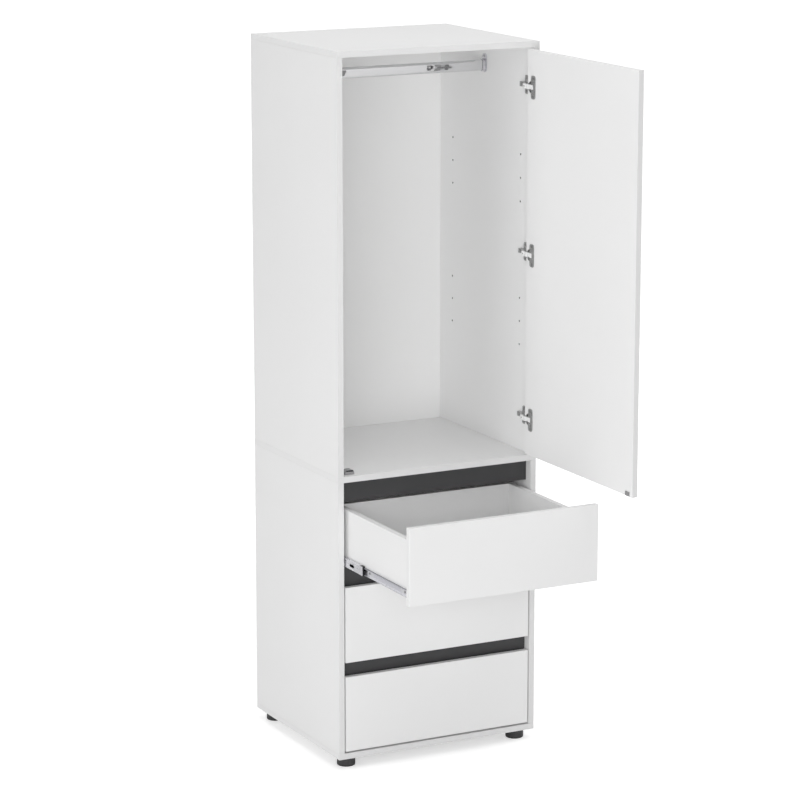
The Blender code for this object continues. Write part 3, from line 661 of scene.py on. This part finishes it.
def foot_pad(name):
    """A turned pad, rounded widely at the floor and less under the panel."""
    low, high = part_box(name)
    centre = (low + high) / 2
    radius = (high.x - low.x) / 2
    top_round = FOOT_ROUND / 2
    arc = [math.pi / 2 * step / FOOT_STEPS for step in range(FOOT_STEPS + 1)]
    profile = [(radius - FOOT_ROUND * (1 - math.sin(a)), low.z + FOOT_ROUND * (1 - math.cos(a)))
               for a in arc]
    profile += [(radius - top_round * (1 - math.cos(a)), high.z - top_round * (1 - math.sin(a)))
                for a in arc]
    shape = bmesh.new()
    loops = []
    for reach, lift in profile:
        ring = circle(reach, FOOT_SIDES)
        loops.append([shape.verts.new((centre.x + x, centre.y + y, lift)) for x, y in ring])
    closed_loft(shape, loops)
    add(f"{name}_pad", shape, BLACK, "carcass", name)


def rail_tube():
    """The clothes rail: an oval tube with fine rounds, open at its ends."""
    low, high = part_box("clothes_rail")
    centre = (low + high) / 2
    shape = bmesh.new()
    loops = []
    for end, wall in ((low.x, 0.0), (high.x, 0.0), (high.x, RAIL_WALL), (low.x, RAIL_WALL)):
        radius = (high.y - low.y) / 2 - wall
        straight = (high.z - low.z) / 2 - wall - radius
        loop = []
        for half in (0, 1):
            for step in range(RAIL_STEPS + 1):
                angle = math.pi * (half + step / RAIL_STEPS)
                lift = straight * (1 - 2 * half) + radius * math.sin(angle)
                loop.append(shape.verts.new((end, centre.y + radius * math.cos(angle), centre.z + lift)))
        loops.append(loop)
    loft(shape, loops + loops[:1])
    add("clothes_rail_tube", shape, CHROME, "carcass", "clothes_rail")


def hinge_screws():
    """Screws of the mounting plates and arms on the carcass, and of the flanges and strike on the door."""
    inward = (-1, 0, 0)
    plates = bmesh.new()
    flanges = bmesh.new()
    for number in HINGES:
        low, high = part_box(f"hinge_arm_{number}")
        lift = (low.z + high.z) / 2
        for side in (-1, 1):
            spot = (SIDE_FACE - WING_RISE, FRONT_PLANE + WING_BACK, lift + side * WING_SPREAD)
            screw(plates, spot, inward, PLATE_SCREW)
        screw(plates, (low.x, low.y + NOSE_SCREW_BACK, lift), inward, NOSE_SCREW)
        screw(plates, (SIDE_FACE - TAIL_RISE, high.y - TAIL_SCREW_IN, lift), inward, TAIL_SCREW)
        low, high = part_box(f"hinge_cup_{number}")
        for side in (-1, 1):
            spot = (DOOR_FACE - FLANGE_RISE, low.y + CUP_SCREW_BACK, lift + side * CUP_SCREW_SPREAD)
            screw(flanges, spot, inward, PLATE_SCREW)
    add("hinge_plate_screws", plates, DARK_SCREW, "carcass")
    low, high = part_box("strike_plate")
    spot = (high.x - STRIKE_SCREW_RISE, (low.y + high.y) / 2, (low.z + high.z) / 2)
    screw(flanges, spot, inward, STRIKE_SCREW)
    add("door_screws", flanges, DARK_SCREW, "door")


def link_strip(shape, lift):
    """A link that goes on from the plate on its cup, round the door's axis and down into the cup."""
    section = [(LINK_RADIUS - LINK_ROUND, LINK_HALF), (LINK_RADIUS, LINK_HALF - LINK_ROUND)]
    section += [(reach, -across) for reach, across in reversed(section)]
    section += [(LINK_RADIUS - LINK_STEEL, -LINK_HALF), (LINK_RADIUS - LINK_STEEL, LINK_HALF)]
    first, last = LINK_TURN
    loops = []
    for step in range(LINK_STEPS + 1):
        angle = first + (last - first) * step / LINK_STEPS
        loops.append([shape.verts.new((DOOR_AXIS.x - reach * math.sin(angle),
                                       DOOR_AXIS.y - reach * math.cos(angle), lift + across))
                      for reach, across in section])
    closed_loft(shape, loops)


def pin_cover(shape, lift, back_edge):
    """The cover of a link's pin, which lies on the cup's flange."""
    corners = [(PIN_COVER_LONG, -LINK_HALF), (PIN_COVER_LONG, LINK_HALF),
               (0.0, LINK_HALF), (0.0, -LINK_HALF)]
    loops = []
    for rise, inset in ((0.0, 0.0), (PIN_COVER_RISE - LINK_ROUND, 0.0), (PIN_COVER_RISE, LINK_ROUND)):
        loop = []
        for along, across in corners:
            depth = back_edge - along + math.copysign(inset, along - PIN_COVER_LONG / 2)
            height = lift + across - math.copysign(inset, across)
            loop.append(shape.verts.new((DOOR_FACE - FLANGE_RISE - rise, depth, height)))
        loops.append(loop)
    closed_loft(shape, loops)


def hinge_links():
    """The links and their pin covers, near-white as a painted highlight on nickel, which swing with the
    door.
    """
    shape = bmesh.new()
    for number in HINGES:
        low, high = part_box(f"hinge_cup_{number}")
        lift = (low.z + high.z) / 2
        link_strip(shape, lift)
        pin_cover(shape, lift, low.y + FLANGE_WIDE)
    add("hinge_links", shape, LINK, "door")


def socket_screws():
    """A screw in the lug of each rail socket."""
    shape = bmesh.new()
    for hand, inward in (("left", 1), ("right", -1)):
        low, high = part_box(f"rail_socket_{hand}")
        wall = low.x if inward > 0 else high.x
        spot = (wall + inward * SOCKET_PLATE, (low.y + high.y) / 2, high.z - SOCKET_LUG_DROP)
        screw(shape, spot, (inward, 0, 0), SOCKET_SCREW)
    add("socket_screws", shape, SCREW, "carcass")


def runner_screws(number):
    """The screws that hold a drawer's two runners."""
    shape = bmesh.new()
    for hand, outward in (("left", -1), ("right", 1)):
        low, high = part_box(f"slide_runner_{number}_{hand}")
        web = high.x - SLIDE_STEEL if outward < 0 else low.x + SLIDE_STEEL
        for along in RUNNER_SCREWS:
            screw(shape, (web, low.y + along, (low.z + high.z) / 2), (outward, 0, 0), RUNNER_SCREW)
    add(f"runner_screws_{number}", shape, DARK_SCREW, f"drawer_{number}")


def back_nails():
    """Nails that hold the thin back to the boards' rear edges."""
    low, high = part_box("back_panel")
    middle_low, middle_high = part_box("middle_panel")
    left = low.x + NAIL_INSET
    right = high.x - NAIL_INSET
    rows = (low.z + NAIL_INSET, (middle_low.z + middle_high.z) / 2, high.z - NAIL_INSET)
    spots = []
    for below, above, count in ((rows[0], rows[1], NAILS_BELOW), (rows[1], rows[2], NAILS_ABOVE)):
        for k in range(count):
            lift = below + (above - below) * (k + 0.5) / count
            spots += [(left, lift), (right, lift)]
    for lift in rows:
        spots += [(left + (right - left) * k / (NAILS_ACROSS - 1), lift) for k in range(NAILS_ACROSS)]
    shape = bmesh.new()
    for x, lift in spots:
        screw(shape, (x, high.y, lift), (0, 1, 0), NAIL, crossed=False, sides=NAIL_SIDES)
    add("back_nails", shape, SCREW, "carcass")


for row in ("front", "rear"):
    for hand in ("left", "right"):
        foot_pad(f"foot_{row}_{hand}")
rail_tube()
hinge_screws()
hinge_links()
socket_screws()
for drawer in DRAWERS:
    runner_screws(drawer)
back_nails()


# Floor, light and camera

def floor_material():
    """A pale floor that is white to the camera and keeps the shadow."""
    made, tree, shader = start("pale_floor", roughness=0.9)
    shader.inputs["Specular IOR Level"].default_value = 0.0
    path = node(tree, "ShaderNodeLightPath")
    grain = spread(tree, noise(tree, scale=5.0, detail=3.0))
    link(tree, tint(tree, grain, *FLOOR_TONES), shader.inputs["Base Color"])
    reach = node(tree, "ShaderNodeVectorMath", operation="LENGTH")
    link(tree, own_place(tree), reach.inputs[0])
    lift = spread(tree, reach.outputs["Value"], *FLOOR_GLOW, *FLOOR_REACH)
    shader.inputs["Emission Color"].default_value = (1.0, 1.0, 1.0, 1.0)
    glow = maths(tree, "MULTIPLY", lift, path.outputs["Is Camera Ray"])
    link(tree, glow, shader.inputs["Emission Strength"])
    return made


def studio_floor():
    """A wide flat floor, which isn't part of the object."""
    mesh = bpy.data.meshes.new("floor")
    shape = bmesh.new()
    bmesh.ops.create_grid(shape, x_segments=4, y_segments=4, size=FLOOR_HALF)
    shape.to_mesh(mesh)
    shape.free()
    mesh.materials.append(floor_material())
    floor = bpy.data.objects.new("floor", mesh)
    bpy.context.scene.collection.objects.link(floor)


def studio_world():
    """White to the camera and in reflections, dimmer as light on the object."""
    world = bpy.data.worlds.new("studio")
    bpy.context.scene.world = world
    world.use_nodes = True
    tree = world.node_tree
    sky = tree.nodes["Background"]
    sky.inputs["Color"].default_value = (1.0, 1.0, 1.0, 1.0)
    path = node(tree, "ShaderNodeLightPath")
    seen = path.outputs["Is Camera Ray"]
    for ray in ("Is Glossy Ray", "Is Transmission Ray"):
        seen = maths(tree, "MAXIMUM", seen, path.outputs[ray])
    link(tree, spread(tree, seen, AMBIENT, 1.0, source_low=0.0, source_high=1.0), sky.inputs["Strength"])


def studio_lamps():
    """Soft lamps that metal doesn't mirror, so that it shows the white surroundings."""
    for name, (place, size, power) in LAMPS.items():
        lamp = bpy.data.lights.new(name, "AREA")
        lamp.size = size
        lamp.energy = power
        made = bpy.data.objects.new(name, lamp)
        made.location = place
        made.visible_glossy = False
        made.rotation_euler = (LAMP_AIM - made.location).to_track_quat("-Z", "Y").to_euler()
        bpy.context.scene.collection.objects.link(made)


def studio_camera():
    """A camera at the photograph's viewing angle, with no shift."""
    eye = bpy.data.cameras.new("camera")
    eye.sensor_width = SENSOR
    eye.lens = FOCAL_PIXELS / PHOTO_WIDE * SENSOR
    camera = bpy.data.objects.new("camera", eye)
    camera.location = EYE_PLACE
    camera.rotation_euler = (math.pi / 2 - EYE_DOWN, 0.0, EYE_TURN)
    bpy.context.scene.collection.objects.link(camera)
    bpy.context.scene.camera = camera


studio_floor()
studio_world()
studio_lamps()
studio_camera()
bpy.context.scene.view_settings.view_transform = "Standard"
